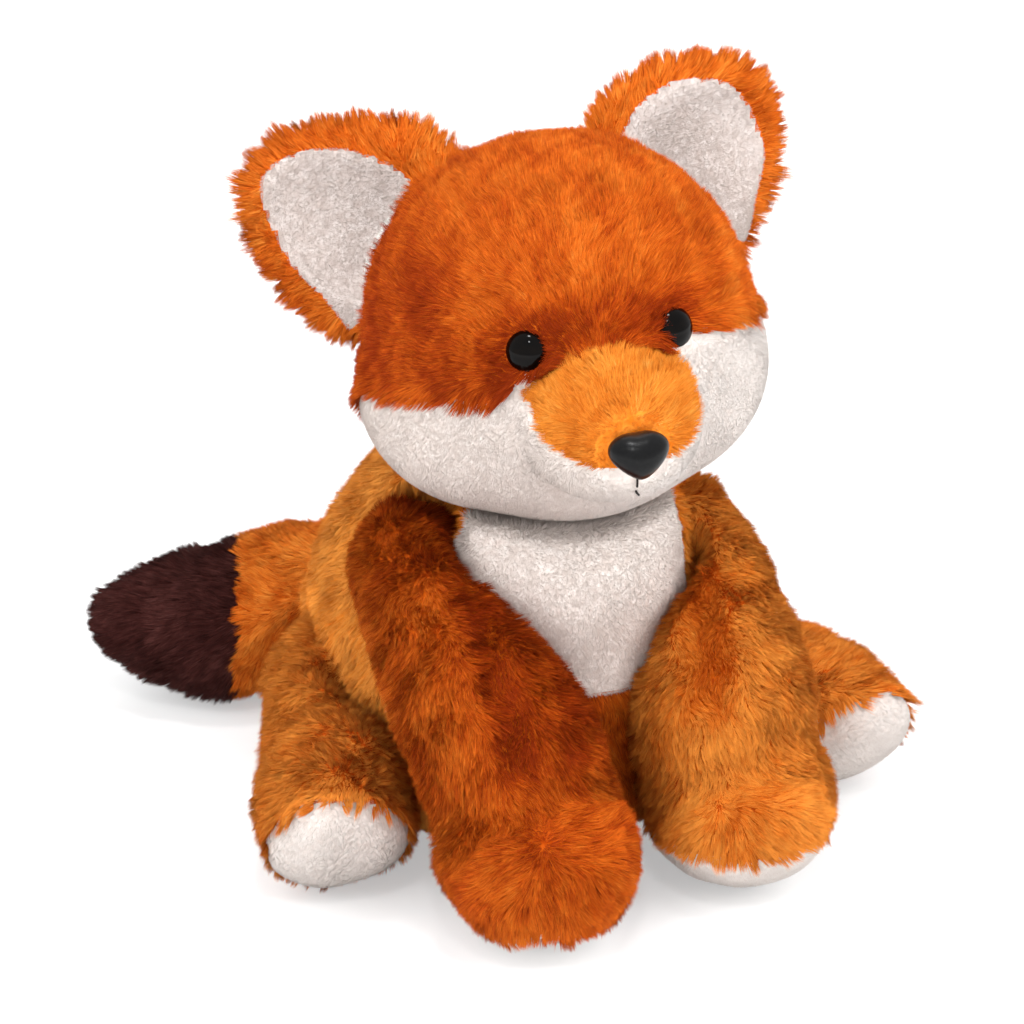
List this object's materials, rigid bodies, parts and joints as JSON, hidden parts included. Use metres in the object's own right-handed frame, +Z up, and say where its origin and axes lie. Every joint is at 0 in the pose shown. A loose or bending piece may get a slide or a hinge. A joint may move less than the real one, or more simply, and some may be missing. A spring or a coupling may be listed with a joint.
{
  "type": "plush fox",
  "caption": "Seated plush fox with orange and white covers, soft filling, plastic eyes and nose, and limbs, head and tail that swing at their seams.",
  "frame": {"origin": "on the plane of the flat seat, below the middle of the head", "axes": "+Z up, -Y the way the fox faces, +X the fox's left side"},
  "size_m": [0.2161, 0.2406, 0.2281],
  "materials": {
    "orange_plush": "long pile plush",
    "short_orange_plush": "short pile plush",
    "white_plush": "short pile plush",
    "dark_plush": "pile plush",
    "filling": "loose fibre",
    "pouch_cloth": "woven",
    "eye_plastic": "polished",
    "nose_plastic": "satin",
    "washer_plastic": "moulded",
    "thread": "twisted"
  },
  "bodies": {
    "torso": {"torso_cover": "orange_plush", "chest_bib": "white_plush", "torso_stuffing": "filling", "seat_bean_pouch": "pouch_cloth"},
    "head": {"head_crown_cover": "orange_plush", "cheek_cover": "white_plush", "muzzle_cover": "short_orange_plush", "head_stuffing": "filling", "eye_left": "eye_plastic", "eye_right": "eye_plastic", "eye_washer_left": "washer_plastic", "eye_washer_right": "washer_plastic", "nose": "nose_plastic", "nose_washer": "washer_plastic", "mouth_thread": "thread", "ear_back_left": "orange_plush", "ear_back_right": "orange_plush", "ear_lining_left": "white_plush", "ear_lining_right": "white_plush"},
    "front_leg_left": {"front_leg_cover_left": "orange_plush", "front_paw_pad_left": "white_plush", "front_leg_stuffing_left": "filling"},
    "front_leg_right": {"front_leg_cover_right": "orange_plush", "front_paw_pad_right": "white_plush", "front_leg_stuffing_right": "filling"},
    "hind_leg_left": {"hind_leg_cover_left": "orange_plush", "hind_sole_pad_left": "white_plush", "hind_leg_stuffing_left": "filling"},
    "hind_leg_right": {"hind_leg_cover_right": "orange_plush", "hind_sole_pad_right": "white_plush", "hind_leg_stuffing_right": "filling"},
    "tail": {"tail_cover": "orange_plush", "tail_tip_cover": "dark_plush", "tail_stuffing": "filling"}
  },
  "joints": [
    {"name": "neck_turn", "type": "hinge", "parent": "torso", "child": "head", "pos_m": [0.0015, -0.009, 0.161], "axis": [0, 0, 1], "range_deg": [-30, 30], "stiffness_Nm_per_rad": 0.1},
    {"name": "shoulder_left", "type": "hinge", "parent": "torso", "child": "front_leg_left", "pos_m": [0.041, -0.004, 0.09], "axis": [-1, 0, 0], "range_deg": [0, 22]},
    {"name": "shoulder_right", "type": "hinge", "parent": "torso", "child": "front_leg_right", "pos_m": [-0.044, -0.004, 0.093], "axis": [-1, 0, 0], "range_deg": [0, 22]},
    {"name": "hip_left", "type": "hinge", "parent": "torso", "child": "hind_leg_left", "pos_m": [0.054, 0.03, 0.038], "axis": [0, 0, 1], "range_deg": [0, 30]},
    {"name": "hip_right", "type": "hinge", "parent": "torso", "child": "hind_leg_right", "pos_m": [-0.054, 0.03, 0.038], "axis": [0, 0, -1], "range_deg": [0, 30]},
    {"name": "tail_swing", "type": "hinge", "parent": "torso", "child": "tail", "pos_m": [-0.008, 0.084, 0.042], "axis": [0, 0, -1], "range_deg": [0, 60]}
  ]
}
